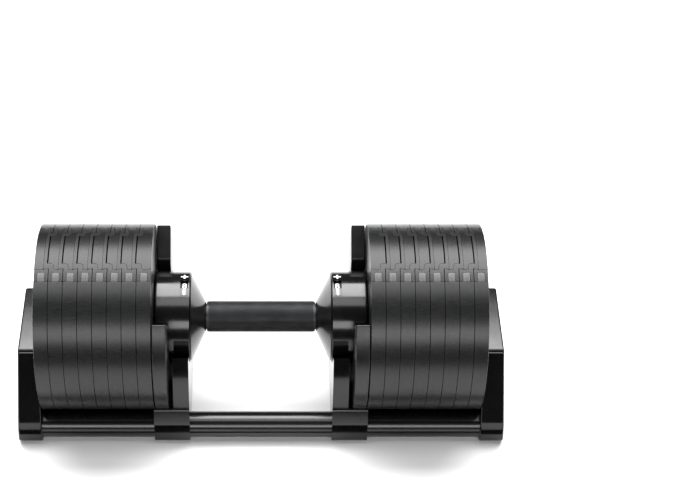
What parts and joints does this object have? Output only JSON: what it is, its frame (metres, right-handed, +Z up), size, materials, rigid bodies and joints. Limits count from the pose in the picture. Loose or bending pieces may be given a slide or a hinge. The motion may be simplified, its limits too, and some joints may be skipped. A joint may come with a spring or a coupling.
{
  "type": "adjustable dumbbell",
  "caption": "Adjustable dumbbell in its storage tray: interlocking round weight plates on two sliding rods, picked up by turning the knurled grip.",
  "frame": {"origin": "on the floor under the middle of the grip", "axes": "+X along the grip to the user's right, +Y away from the user, +Z up"},
  "size_m": [0.487, 0.1852, 0.1936],
  "materials": {
    "plate": "satin",
    "liner": "satin",
    "shell": "gloss",
    "tray": "satin",
    "rail": "gloss",
    "grip": "knurled, satin",
    "steel": "brushed",
    "dial": "matte, white numbers",
    "rubber": "matte"
  },
  "bodies": {
    "tray": {"front_rail": "rail", "end_cap_left": "tray", "inner_stand_left": "tray", "cradle_plate_left": "plate", "rear_rail_left": "rail", "plate_bed_left": "tray", "foot_end_left": "rubber", "foot_stand_left": "rubber", "end_cap_right": "tray", "inner_stand_right": "tray", "cradle_plate_right": "plate", "rear_rail_right": "rail", "plate_bed_right": "tray", "foot_end_right": "rubber", "foot_stand_right": "rubber"},
    "dumbbell": {"housing_left": "shell", "cone_left": "shell", "lock_spring_left": "steel", "plate_left_1": "plate", "liner_left_1": "liner", "plate_left_2": "plate", "liner_left_2": "liner", "plate_left_3": "plate", "liner_left_3": "liner", "plate_left_4": "plate", "liner_left_4": "liner", "plate_left_5": "plate", "liner_left_5": "liner", "plate_left_6": "plate", "liner_left_6": "liner", "plate_left_7": "plate", "liner_left_7": "liner", "plate_left_8": "plate", "liner_left_8": "liner", "housing_right": "shell", "cone_right": "shell", "lock_spring_right": "steel", "plate_right_1": "plate", "liner_right_1": "liner", "plate_right_2": "plate", "liner_right_2": "liner", "plate_right_3": "plate", "liner_right_3": "liner", "plate_right_4": "plate", "liner_right_4": "liner", "plate_right_5": "plate", "liner_right_5": "liner", "plate_right_6": "plate", "liner_right_6": "liner", "plate_right_7": "plate", "liner_right_7": "liner", "plate_right_8": "plate", "liner_right_8": "liner"},
    "grip": {"grip": "grip", "number_dial_left": "dial", "number_dial_right": "dial"},
    "rod_left": {"rod_left": "steel"},
    "rod_right": {"rod_right": "steel"},
    "lock_pin_left": {"lock_pin_left": "steel"},
    "lock_pin_right": {"lock_pin_right": "steel"}
  },
  "joints": [
    {"name": "lift", "type": "slide", "parent": "tray", "child": "dumbbell", "axis": [0, 0, 1], "range_m": [0, 0.16]},
    {"name": "grip_turn", "type": "hinge", "parent": "dumbbell", "child": "grip", "pos_m": [0, 0, 0.101], "axis": [-1, 0, 0], "range_deg": [0, 337.5]},
    {"name": "rod_right_slide", "type": "slide", "parent": "dumbbell", "child": "rod_right", "axis": [-1, 0, 0], "range_m": [0, 0.1054]},
    {"name": "rod_left_slide", "type": "slide", "parent": "dumbbell", "child": "rod_left", "axis": [1, 0, 0], "range_m": [0, 0.1054]},
    {"name": "lock_pin_left_slide", "type": "slide", "parent": "dumbbell", "child": "lock_pin_left", "axis": [0, 0, 1], "range_m": [-0.003, 0], "deforming": ["lock_spring_left"]},
    {"name": "lock_pin_right_slide", "type": "slide", "parent": "dumbbell", "child": "lock_pin_right", "axis": [0, 0, 1], "range_m": [-0.003, 0], "deforming": ["lock_spring_right"]}
  ],
  "couplings": [
    {"joint": "rod_right_slide", "follows": "grip_turn", "m_per_rad": 0.017889},
    {"joint": "rod_left_slide", "follows": "grip_turn", "m_per_rad": 0.017889},
    {"joint": "lock_pin_left_slide", "follows": "lift", "ratio": -0.01875},
    {"joint": "lock_pin_right_slide", "follows": "lift", "ratio": -0.01875}
  ]
}
